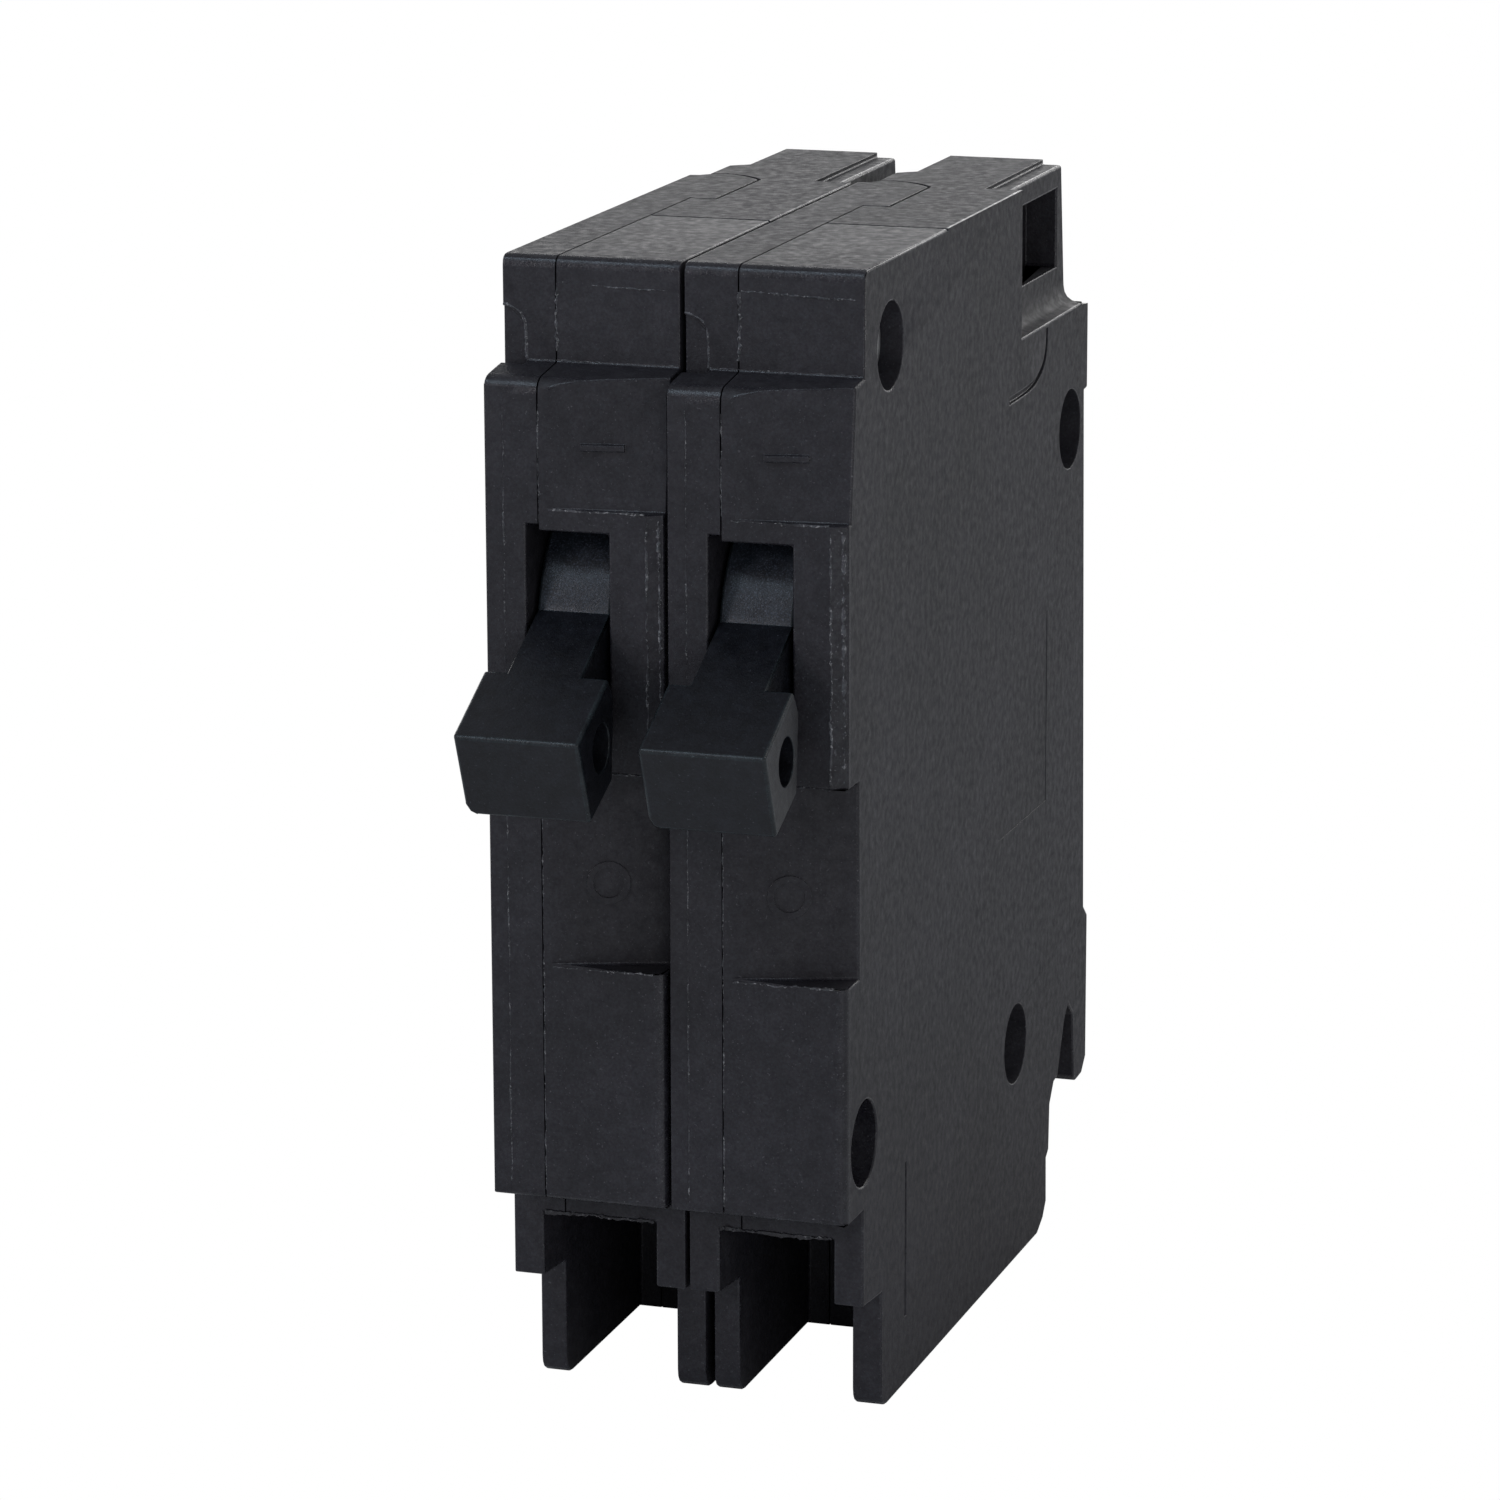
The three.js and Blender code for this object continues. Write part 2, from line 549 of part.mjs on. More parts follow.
// Spring leaf that grips one side of the panel's stab
function makeLineJaw(side) {
  const inner = side < 0;
  const path = inner
    ? [[7.6, 47.7], [10.4, 47.7], [11.5, 48.7], [11.9, 51.0], [11.4, 52.8]]
    : [[6.2, 47.7], [3.5, 47.7], [2.4, 48.7], [1.9, 51.0], [2.5, 52.8]];
  return planSlab(stripOutline(path, 0.7), -7.2, -2.5);
}

// Steel arc plate with a notch where the arc enters
function makeArcPlate(level) {
  const outline = [[2.0, 40.6], [4.8, 40.6], [6.2, 42.6], [7.6, 40.6], [10.4, 40.6], [10.4, 47.6], [2.0, 47.6]];
  return planSlab(outline, level, level + 0.8);
}

// Trip mechanism

const SPRING_POST = { y: 31.2, z: -36.6 };

function makeCradle() {
  const { left, right } = CRADLE_LAYER;
  const lever = [
    [22.1, -31.4], [22.6, -29.2], [24.6, -28.6], [26.6, -29.6], [33.0, -34.6], [43.5, -41.6],
    [43.9, -42.4], [43.3, -43.5], [31.0, -38.4], [24.0, -33.2],
  ];
  let body = joined([
    sideSlab(lever, left, right),
    rodX(0.6, 2.3, left + 0.2, SPRING_POST.y, SPRING_POST.z, 12),
  ]);
  body = cut(body, [rodX(1.3, 0, POLE_WIDTH, CRADLE_PIVOT.y, CRADLE_PIVOT.z, 16)]);
  return surface(body);
}

function makeCradlePin() {
  return rodX(1.0, 7.1, 11.0, CRADLE_PIVOT.y, CRADLE_PIVOT.z, 16);
}

class Helix extends THREE.Curve {
  constructor(radius, length, turns) {
    super();
    Object.assign(this, { radius, length, turns });
  }

  getPoint(t) {
    const angle = 2 * Math.PI * this.turns * t;
    return new THREE.Vector3(this.radius * Math.cos(angle), this.radius * Math.sin(angle), this.length * t);
  }
}

function circlePoints(radius, sides) {
  const shape = new THREE.Shape().absarc(0, 0, radius, 0, 2 * Math.PI);
  return new THREE.Shape(shape.getSpacedPoints(sides).slice(0, sides));
}

// Extension spring between the posts on the contact arm and the cradle
function makeToggleSpring() {
  const hook = along(PIVOT, TAIL_ANGLE, TAIL_LENGTH);
  const [topY, topZ] = along({ y: hook[0], z: hook[1] }, ARM_ANGLE, 12);
  const top = new THREE.Vector3(SPRING_X, topY, topZ);
  const bottom = new THREE.Vector3(SPRING_X, SPRING_POST.y, SPRING_POST.z);
  const axis = bottom.clone().sub(top);
  const room = 1.2;
  const coil = new Helix(1.0, axis.length() - 2 * room, 6);
  const geometry = new THREE.ExtrudeGeometry(circlePoints(0.28, 5), { steps: 54, extrudePath: coil });
  const turn = new THREE.Quaternion().setFromUnitVectors(new THREE.Vector3(0, 0, 1), axis.clone().normalize());
  const start = top.clone().addScaledVector(axis.clone().normalize(), room);
  geometry.applyQuaternion(turn).translate(start.x, start.y, start.z);
  return surface(solid(geometry));
}

function makeBimetal() {
  return block(3.8, 8.9, 48.0, 48.9, -54.9, -30.0);
}

function makeYoke() {
  const outline = [
    [2.3, 46.6], [3.3, 46.6], [3.3, 50.6], [9.4, 50.6], [9.4, 46.6], [10.4, 46.6], [10.4, 51.7], [2.3, 51.7],
  ];
  return planSlab(outline, -49.5, -39.0);
}

// Hinged armature; its forward tongue catches the tip of the cradle
function makeArmature() {
  return surface(joined([
    block(3.2, 9.4, 44.3, 45.1, -53.6, -33.5),
    block(7.1, 8.9, 43.5, 44.5, -45.2, -44.3),
  ]));
}

// Braided lead from the contact arm to the free end of the bimetal
function makeBraid() {
  const middle = (ARM_LAYER.left + ARM_LAYER.right) / 2;
  const route = [[21.0, -25.2], [24.0, -29.0], [31.0, -32.2], [39.0, -30.6], [44.5, -26.6], [47.6, -26.9], [48.45, -29.6]];
  const curve = new THREE.CatmullRomCurve3(route.map(([y, z]) => new THREE.Vector3(middle, y, z)));
  const geometry = new THREE.ExtrudeGeometry(circlePoints(0.75, 6), { steps: 18, extrudePath: curve });
  return surface(solid(geometry));
}

function makeLoadStrap() {
  const lower = along(LANDING, CLAMP_TILT - Math.PI / 2, 5.2);
  const path = [[49.7, -51.6], [49.7, -55.6], [11.95, -55.6], [11.95, -58.8], lower];
  let body = solid(sideSlab(stripOutline(path, CONDUCTOR), 3.7, 8.7));
  const hole = new THREE.CylinderGeometry(2.0, 2.0, 4, 20);
  return surface(body.subtract(solid(onClamp(hole, 0))));
}

// A calibration screw behind the foot of the bimetal
function makeCalibrationScrew() {
  const profile = [[0, 0], [1.1, 0], [1.1, 4.9], [0.4, 4.9], [0.4, 4.3], [0, 4.3]];
  const points = profile.map(([r, h]) => new THREE.Vector2(r, h));
  const geometry = new THREE.LatheGeometry(points, 12);
  return surface(solid(geometry)).translate(POLE_MIDDLE, 50.6, -53.3);
}

// Wire clamp at the load end

// Places a piece made along +Y on the tilted screw axis, at a distance in front of the landing
function onClamp(geometry, distance) {
  geometry.translate(0, -distance, 0).rotateX(CLAMP_TILT);
  return geometry.translate(POLE_MIDDLE, LANDING.y, LANDING.z);
}

const CLAMP_OPEN = 3.6;
const CLAMP_THICKNESS = 1.1;

function makeClamp() {
  const half = 3.3;
  const outline = [[-half, -2.6], [half, -2.6], [half, 3.4], [half - 1, 4.0], [1 - half, 4.0], [-half, 3.4]];
  let body = solid(frontSlab(outline, -CLAMP_THICKNESS / 2, CLAMP_THICKNESS / 2));
  body = body.subtract(solid(new THREE.CylinderGeometry(2.0, 2.0, 3, 20)));
  return onClamp(surface(body), CLAMP_OPEN);
}

function makeTerminalScrew() {
  const under = -(CLAMP_THICKNESS / 2 + 0.3);
  const top = under - 2.1;
  const profile = [
    [0, 6.2], [1.3, 6.2], [1.6, 5.8], [1.6, under], [2.7, under], [2.7, top + 0.5], [2.2, top], [0, top],
  ];
  const points = profile.map(([r, h]) => new THREE.Vector2(r, h)).reverse();
  const shank = solid(new THREE.LatheGeometry(points, 18));
  const slot = block(-0.4, 0.4, top - 1, top + 1.0, -4, 4);
  const cross = block(-1.6, 1.6, top - 1, top + 0.9, -0.4, 0.4);
  return onClamp(surface(cut(shank, [slot, cross])), CLAMP_OPEN);
}

// Finishes

function finish(color, roughness, metalness) {
  return new THREE.MeshStandardMaterial({ color, roughness, metalness });
}

const FINISHES = {
  case: finish(0x242428, 0.62, 0),
  handle: finish(0x15191f, 0.42, 0),
  copper: finish(0xb06a45, 0.35, 1),
  steel: finish(0x9a9da2, 0.4, 1),
  silver: finish(0xd8d8d4, 0.3, 1),
  brass: finish(0xb59a5a, 0.35, 1),
};

function part(name, geometry, material) {
  const mesh = new THREE.Mesh(geometry, FINISHES[material]);
  mesh.name = name;
  return mesh;
}

function makePole(prefix, offset, side) {
  const pole = new THREE.Group();
  pole.position.x = offset;
  pole.add(
    part(`${prefix}_base`, makeBase(), 'case'),
    part(`${prefix}_cover`, makeCover(), 'case'),
    part(`${prefix}_handle`, makeHandle(), 'handle'),
    part(`${prefix}_handle_pin`, makeHandlePin(), 'steel'),
    part(`${prefix}_contact_arm`, makeContactArm(), 'copper'),
    part(`${prefix}_moving_contact`, makeMovingContact(), 'silver'),
    part(`${prefix}_fixed_contact`, makeFixedContact(), 'silver'),
    part(`${prefix}_line_strap`, makeLineStrap(), 'copper'),
    part(`${prefix}_line_jaw`, makeLineJaw(side), 'brass'),
    part(`${prefix}_cradle`, makeCradle(), 'steel'),
    part(`${prefix}_cradle_pin`, makeCradlePin(), 'steel'),
    part(`${prefix}_toggle_spring`, makeToggleSpring(), 'steel'),
    part(`${prefix}_bimetal`, makeBimetal(), 'brass'),
    part(`${prefix}_magnet_yoke`, makeYoke(), 'steel'),
    part(`${prefix}_armature`, makeArmature(), 'steel'),
    part(`${prefix}_braid`, makeBraid(), 'copper'),
    part(`${prefix}_load_strap`, makeLoadStrap(), 'copper'),
    part(`${prefix}_calibration_screw`, makeCalibrationScrew(), 'brass'),
    part(`${prefix}_wire_clamp`, makeClamp(), 'steel'),
    part(`${prefix}_terminal_screw`, makeTerminalScrew(), 'steel'),
  );
  [-16.2, -19.6, -23.0].forEach((level, i) => {
    pole.add(part(`${prefix}_arc_plate_${i + 1}`, makeArcPlate(level), 'steel'));
  });
  return pole;
}

const breaker = new THREE.Group();
breaker.name = 'circuit_breaker';
breaker.position.set(0, -(HANDLE_TIP_Y + BACK_Y) / 2, HEIGHT);
breaker.add(makePole('left', -OUTER_X, -1), makePole('right', POLE_PITCH - OUTER_X, 1));
RIVETS.forEach((rivet) => breaker.add(part(rivet.name, makeRivet(rivet), 'steel')));

export default breaker;
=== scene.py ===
import json
import math

import bmesh
import bpy
import numpy as np
from mathutils import Matrix, Vector


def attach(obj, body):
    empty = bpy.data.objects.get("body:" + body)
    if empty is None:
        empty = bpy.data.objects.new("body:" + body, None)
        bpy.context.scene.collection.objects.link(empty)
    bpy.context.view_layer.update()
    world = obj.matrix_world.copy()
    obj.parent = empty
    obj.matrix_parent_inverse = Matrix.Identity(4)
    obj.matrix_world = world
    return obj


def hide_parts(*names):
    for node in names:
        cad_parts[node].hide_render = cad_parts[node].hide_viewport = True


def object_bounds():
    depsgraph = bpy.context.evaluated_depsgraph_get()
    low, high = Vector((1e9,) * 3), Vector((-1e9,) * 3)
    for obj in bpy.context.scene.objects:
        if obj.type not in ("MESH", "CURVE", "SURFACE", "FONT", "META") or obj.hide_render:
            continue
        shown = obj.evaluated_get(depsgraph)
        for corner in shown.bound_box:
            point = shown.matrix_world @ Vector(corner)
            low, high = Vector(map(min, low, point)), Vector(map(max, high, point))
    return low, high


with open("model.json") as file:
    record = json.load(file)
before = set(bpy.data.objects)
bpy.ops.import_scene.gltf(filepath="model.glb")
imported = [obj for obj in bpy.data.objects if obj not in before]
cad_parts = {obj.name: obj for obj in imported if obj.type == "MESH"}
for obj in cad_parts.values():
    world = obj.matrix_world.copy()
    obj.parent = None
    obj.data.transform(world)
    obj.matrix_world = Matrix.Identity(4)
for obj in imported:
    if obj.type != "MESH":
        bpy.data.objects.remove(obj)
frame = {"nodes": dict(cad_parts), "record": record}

cad_low, cad_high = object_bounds()
MM = 0.001


# The studio. The breaker stands on a white table in front of a white paper roll that is lit low down,
# with little light from above, so that faces seen at a shallow angle look lighter than the ones in front.
camera = bpy.data.objects.new("camera", bpy.data.cameras.new("camera"))
bpy.context.scene.collection.objects.link(camera)
bpy.context.scene.camera = camera
camera.data.sensor_width = 36
camera.data.lens = 142.77
camera_place = Vector((0.125526, -0.392081, 0.141760))
camera_turn, camera_dip, camera_roll = 0.31578, 0.23737, -0.002957
camera_aim = Vector((
    -math.sin(camera_turn) * math.cos(camera_dip),
    math.cos(camera_turn) * math.cos(camera_dip),
    -math.sin(camera_dip),
))
camera_spin = camera_aim.to_track_quat("-Z", "Y").to_matrix() @ Matrix.Rotation(camera_roll, 3, "Z")
camera.matrix_world = Matrix.Translation(camera_place) @ camera_spin.to_4x4()
camera.data.clip_start = 0.01


def softbox(name, place, aim, width, height, power, colour):
    """A rectangular area light at a place, turned to face a point, which the camera doesn't see."""
    lamp = bpy.data.objects.new(name, bpy.data.lights.new(name, "AREA"))
    bpy.context.scene.collection.objects.link(lamp)
    lamp.data.shape = "RECTANGLE"
    lamp.data.size, lamp.data.size_y = width, height
    lamp.data.energy = power
    lamp.data.color = colour
    lamp.location = place
    lamp.rotation_mode = "QUATERNION"
    lamp.rotation_quaternion = (Vector(aim) - Vector(place)).to_track_quat("-Z", "Y")
    lamp.visible_camera = False


middle = Vector((0, 0, cad_high.z / 2))
softbox("paper_roll", (-0.45, 1.3, 0.3), middle, 1.8, 0.5, 6.0, (1, 0.99, 0.98))
softbox("side_panel", (1.15, 0.75, 0.05), middle, 0.9, 0.4, 0.5, (1, 0.99, 0.97))
softbox("front_left", (-0.68, -0.8, 0.42), middle, 0.24, 0.24, 1.68, (0.98, 0.94, 1))
softbox("front_low", (0.55, -0.9, 0.06), middle, 0.4, 0.12, 0.65, (0.97, 0.95, 1))
softbox("right_fill", (1.3, -0.55, 0.2), middle, 0.6, 0.5, 0.95, (1, 0.99, 0.97))
softbox("overhead_front", (-0.25, -0.45, 0.7), middle, 0.26, 0.14, 1.0, (0.68, 0.84, 1))
softbox("table_lamp", (0.5, 0.8, 0.7), (0.4, 0.65, 0), 0.7, 0.7, 1.6, (1, 0.99, 0.97))


def split_by_ray(tree, seen, unseen):
    """Joins two shaders, one for what the camera sees and one for what lights the object."""
    path = tree.nodes.new("ShaderNodeLightPath")
    mix = tree.nodes.new("ShaderNodeMixShader")
    tree.links.new(path.outputs["Is Camera Ray"], mix.inputs[0])
    tree.links.new(unseen.outputs[0], mix.inputs[1])
    tree.links.new(seen.outputs[0], mix.inputs[2])
    return mix


world = bpy.data.worlds.new("studio")
bpy.context.scene.world = world
world.use_nodes = True
world.node_tree.nodes.clear()
world_white = world.node_tree.nodes.new("ShaderNodeBackground")
world_dim = world.node_tree.nodes.new("ShaderNodeBackground")
world_dim.inputs["Color"].default_value = (0.93, 0.95, 1, 1)
world_dim.inputs["Strength"].default_value = 0.3
world_white.inputs["Color"].default_value = (1, 1, 1, 1)
world_out = world.node_tree.nodes.new("ShaderNodeOutputWorld")
world_mix = split_by_ray(world.node_tree, world_white, world_dim)
world.node_tree.links.new(world_mix.outputs[0], world_out.inputs["Surface"])

table_mesh = bpy.data.meshes.new("table")
table_corners = [(-4, -4, -0.0004), (4, -4, -0.0004), (4, 4, -0.0004), (-4, 4, -0.0004)]
table_mesh.from_pydata(table_corners, [], [(0, 1, 2, 3)])
table = bpy.data.objects.new("table", table_mesh)
bpy.context.scene.collection.objects.link(table)
table_paper = bpy.data.materials.new("table_paper")
table_paper.use_nodes = True
table_paper.node_tree.nodes.clear()
paper_glow = table_paper.node_tree.nodes.new("ShaderNodeEmission")
paper_matt = table_paper.node_tree.nodes.new("ShaderNodeBsdfDiffuse")
paper_matt.inputs["Color"].default_value = (0.85, 0.85, 0.85, 1)
paper_out = table_paper.node_tree.nodes.new("ShaderNodeOutputMaterial")
paper_mix = split_by_ray(table_paper.node_tree, paper_glow, paper_matt)
table_paper.node_tree.links.new(paper_mix.outputs[0], paper_out.inputs["Surface"])
table_mesh.materials.append(table_paper)
bpy.context.scene.view_settings.view_transform = "Standard"


# The bases: the wide half of each pole, compression moulded in one piece from a mineral-filled black
# thermoset. The mould leaves a fine grain and small rounds on every edge. A paler copy of the plastic on
# the curved corner of the nose beside the handle is a painted highlight.
def grain(tree, scale, detail, roughness=0.55):
    """Noise on the piece's own coordinates, in cells per metre."""
    place = tree.nodes.new("ShaderNodeTexCoord")
    noise = tree.nodes.new("ShaderNodeTexNoise")
    noise.inputs["Scale"].default_value = scale
    noise.inputs["Detail"].default_value = detail
    noise.inputs["Roughness"].default_value = roughness
    tree.links.new(place.outputs["Object"], noise.inputs["Vector"])
    return noise.outputs["Fac"]


def ramp(tree, value, stops):
    """A colour for each value, blended between stops of (value, colour)."""
    node = tree.nodes.new("ShaderNodeValToRGB")
    elements = node.color_ramp.elements
    while len(elements) < len(stops):
        elements.new(0.5)
    for element, (at, colour) in zip(elements, stops):
        element.position = at
        element.color = (*colour, 1)
    tree.links.new(value, node.inputs["Fac"])
    return node.outputs["Color"]


def remap(tree, value, low, high, to_low, to_high):
    """A value carried linearly from one range to another, held at both ends."""
    node = tree.nodes.new("ShaderNodeMapRange")
    node.inputs["From Min"].default_value = low
    node.inputs["From Max"].default_value = high
    node.inputs["To Min"].default_value = to_low
    node.inputs["To Max"].default_value = to_high
    tree.links.new(value, node.inputs["Value"])
    return node.outputs["Result"]


def blend_colours(tree, mode, factor, first, second):
    """Two colours mixed; the factor is a number or a socket."""
    node = tree.nodes.new("ShaderNodeMix")
    node.data_type = "RGBA"
    node.blend_type = mode
    sockets = {0: factor, 6: first, 7: second}
    for index, value in sockets.items():
        if isinstance(value, bpy.types.NodeSocket):
            tree.links.new(value, node.inputs[index])
        else:
            node.inputs[index].default_value = value
    return node.outputs[2]


def bump(tree, height, strength, depth, normal=None):
    """A bumpy normal from a height between 0 and 1, that is worth depth metres."""
    node = tree.nodes.new("ShaderNodeBump")
    node.inputs["Strength"].default_value = strength
    node.inputs["Distance"].default_value = depth
    tree.links.new(height, node.inputs["Height"])
    if normal is not None:
        tree.links.new(normal, node.inputs["Normal"])
    return node.outputs["Normal"]


def new_finish(name):
    """An empty principled material: its tree and its shader."""
    material = bpy.data.materials.new(name)
    material.use_nodes = True
    tree = material.node_tree
    return material, tree, tree.nodes["Principled BSDF"]


def thermoset(name, dark, light, speck, rough_low, rough_high, specks, cells=5200):
    """Black filled plastic: mottled in patches of about 1 mm, cloudy over some 10 mm, with a fine grain of
    bluish and greenish resin. Pale filler specks show wherever a finer noise is above the specks value."""
    material, tree, shader = new_finish(name)
    patches = ramp(tree, grain(tree, 900, 6), [(0.36, dark), (0.66, light)])
    clouds = ramp(tree, grain(tree, 75, 3), [(0.35, (0.82, 0.82, 0.82)), (0.65, (1.17, 1.17, 1.17))])
    tints = [(0.36, (0.72, 0.68, 0.8)), (0.5, (1, 1, 1)), (0.64, (1.22, 1.36, 1.36))]
    resin = ramp(tree, grain(tree, 4600, 3, 0.7), tints)
    cloudy = blend_colours(tree, "MULTIPLY", 1.0, patches, clouds)
    mottled = blend_colours(tree, "MULTIPLY", 1.0, cloudy, resin)
    dots = [(specks, (0, 0, 0)), (specks + 0.09, (1, 1, 1))]
    filler = ramp(tree, grain(tree, cells, 2, 0.7), dots)
    colour = blend_colours(tree, "MIX", filler, mottled, (*speck, 1))
    tree.links.new(colour, shader.inputs["Base Color"])
    gloss = remap(tree, grain(tree, 1500, 4), 0.3, 0.7, rough_low, rough_high)
    tree.links.new(gloss, shader.inputs["Roughness"])
    pores = bump(tree, grain(tree, 5600, 3, 0.7), 0.45, 0.00006)
    waves = bump(tree, grain(tree, 260, 3), 0.2, 0.0003, pores)
    tree.links.new(waves, shader.inputs["Normal"])
    shader.inputs["Specular IOR Level"].default_value = 0.42
    return material


case_black = thermoset(
    "case_black", (0.0155, 0.0145, 0.0185), (0.0245, 0.023, 0.028), (0.075, 0.075, 0.085), 0.46, 0.68, 0.655
)
edge_black = thermoset(
    "edge_black", (0.0155, 0.0145, 0.0185), (0.03, 0.0285, 0.034), (0.12, 0.12, 0.13), 0.2, 0.36, 0.64
)
# A paler copy of the case plastic: a painted highlight on the curved corner of the nose beside the handle,
# and a paler ridge on the pocket lip.
paler_black_and_highlight = thermoset(
    "paler_black_and_highlight", (0.02, 0.019, 0.022), (0.038, 0.037, 0.041), (0.1, 0.1, 0.11), 0.45, 0.7, 0.62
)


def slenderness(face):
    """The width of a long face in metres: twice its area over its perimeter."""
    return 2 * face.calc_area() / face.calc_perimeter()


def round_of(edge, usual, at_edge):
    """How wide the round on an edge is: the usual width or the one for its place, and no more than about
    a third of the thinner face beside it."""
    return min(at_edge(edge, usual), *(0.34 * slenderness(face) for face in edge.link_faces))


def case_finish(face):
    """The edge finish on the narrow strips that make up the mould's large rounds at the front, and the paler
    third finish on the curved corner of the nose beside the handle, where it is a painted highlight."""
    usual_finish, edge_finish, painted_highlight_finish = 0, 1, 2
    at = face.calc_center_median() / MM
    beside_handle = at.y < -24.8 and 46.5 < at.z < 64
    if beside_handle and at.x > 11.4 and 0.2 < face.normal.x < 0.9:
        return painted_highlight_finish
    long_edges = [edge for edge in face.edges if edge.calc_length() > 3.2 * MM]
    soft = [edge for edge in long_edges if 0.09 < edge.calc_face_angle(0) < 0.5]
    return edge_finish if soft and at.y < -15 and slenderness(face) < 0.5 * MM else usual_finish


def moulded(node, name, body, finishes, usual, at_edge, finish_of):
    """The CAD node's surface with its loose triangles merged and its flats made whole, then a round on
    each edge that turns by more than 25 degrees. The rounds take the second finish."""
    mesh = frame["nodes"][node].data.copy()
    mesh.name = name
    mesh.materials.clear()
    work = bmesh.new()
    work.from_mesh(mesh)
    bmesh.ops.remove_doubles(work, verts=work.verts, dist=0.000003)
    bmesh.ops.dissolve_limit(work, angle_limit=math.radians(0.6), verts=work.verts, edges=work.edges)
    weights = work.edges.layers.float.new("bevel_weight_edge")
    for edge in work.edges:
        if len(edge.link_faces) == 2 and edge.calc_face_angle(0) > math.radians(25):
            edge[weights] = round_of(edge, usual, at_edge) / usual
    for face in work.faces:
        face.smooth = True
        face.material_index = finish_of(face)
    work.to_mesh(mesh)
    work.free()
    mesh.set_sharp_from_angle(angle=math.radians(28))
    piece = bpy.data.objects.new(name, mesh)
    bpy.context.scene.collection.objects.link(piece)
    for finish in finishes:
        mesh.materials.append(finish)
    rounds = piece.modifiers.new("rounds", "BEVEL")
    rounds.width = usual
    rounds.segments = 3
    rounds.limit_method = "WEIGHT"
    rounds.use_clamp_overlap = False
    rounds.material = 1
    rounds.harden_normals = True
    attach(piece, body)
    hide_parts(node)


pole_left = {"left": -12.7, "right": 0.15}
pole_width, cover_width = 12.55, 3.8
case_top = 80.5


def case_edge(edge, usual):
    """No round along the seam between base and cover, small ones on the steps in the top, on short edges
    at the back and where a pole has its neighbour or the left side, and the usual one elsewhere."""
    ends = [vert.co / MM for vert in edge.verts]
    middle_x = (ends[0].x + ends[1].x) / 2
    side = "left" if middle_x < 0 else "right"
    across = middle_x - pole_left[side]
    rearmost = max(end.y for end in ends)
    inside = 0.1 < across < pole_width - 0.15
    if abs(across - cover_width) < 0.12:
        return 0
    if min(end.z for end in ends) > case_top - 0.1 and inside and rearmost > -21:
        return 0.03 * MM
    if (ends[0] - ends[1]).length < 0.7 and rearmost > -15:
        return 0.07 * MM
    if across < 0.1 or (across > pole_width - 0.15 and side == "left"):
        return 0.12 * MM
    return usual


for side in ("left", "right"):
    moulded(
        f"{side}_base", f"{side}_base_moulding", "root",
        [case_black, edge_black, paler_black_and_highlight], 0.2 * MM, case_edge, case_finish,
    )


# The covers: the narrow half of each pole, from the same black thermoset, riveted on from the left.
# Each has a round-ended tongue that laps over the top of its base.
for side in ("left", "right"):
    moulded(
        f"{side}_cover", f"{side}_cover_moulding", "root",
        [case_black, edge_black, paler_black_and_highlight], 0.2 * MM, case_edge, case_finish,
    )


# The toggle handles, injection moulded from a blue-black plastic with a smoother, glossier skin than
# the case. Each turns on a pin through its hub, and its drum fills the window behind the handle.
handle_black = thermoset(
    "handle_black", (0.0045, 0.005, 0.0072), (0.0095, 0.0105, 0.0145), (0.06, 0.066, 0.08), 0.3, 0.42, 0.67
)
handle_edge = thermoset(
    "handle_edge", (0.008, 0.011, 0.0135), (0.018, 0.024, 0.028), (0.08, 0.1, 0.11), 0.24, 0.36, 0.66
)
# The drum takes a lighter, bluer copy of the handle plastic: a painted highlight over its speckled grain.
drum_grain_and_painted_highlight = thermoset(
    "drum_grain_and_painted_highlight", (0.009, 0.0115, 0.016), (0.021, 0.026, 0.034), (0.055, 0.066, 0.09), 0.28, 0.48, 0.54, 9000
)


def handle_finish(face):
    """The drum finish, lighter and bluer as a painted highlight, with its speckle, at the drum's radius from
    the pin; the first elsewhere.
    """
    pin_y, pin_z = -15.6, 55.0
    at = face.calc_center_median() / MM
    on_drum = 9.2 < math.hypot(at.y - pin_y, at.z - pin_z) < 9.5
    return 2 if on_drum and abs(face.normal.x) < 0.1 else 0


def usual_everywhere(edge, usual):
    """The same round on each edge."""
    return usual


for side in ("left", "right"):
    moulded(
        f"{side}_handle", f"{side}_toggle", f"{side}_handle",
        [handle_black, handle_edge, drum_grain_and_painted_highlight], 0.25 * MM, usual_everywhere, handle_finish,
    )


# Moulding flash: thin torn ridges of the same plastic, scraped pale, that stand along the parting lines
# of the mould and along edges that were trimmed by hand. Each is a row of crests over a seam. The pale
# ridge down the curved corner of the nose beside the handle is not flash but a painted highlight.
flash_pale = thermoset(
    "flash_pale", (0.03, 0.03, 0.033), (0.11, 0.11, 0.12), (0.3, 0.3, 0.31), 0.5, 0.75, 0.56
)
chance = np.random.default_rng(41)
shoulder_front = -22.115


def ragged(count, rough):
    """Noise for a torn edge: a random walk through count steps that is pulled back to zero, and fine
    jitter on top, both in parts of one."""
    drift = np.convolve(chance.normal(0, 1, count + 12), np.hanning(13) / 2.6, "valid")
    return rough * (0.6 * drift[:count] + 0.5 * chance.normal(0, 1, count))


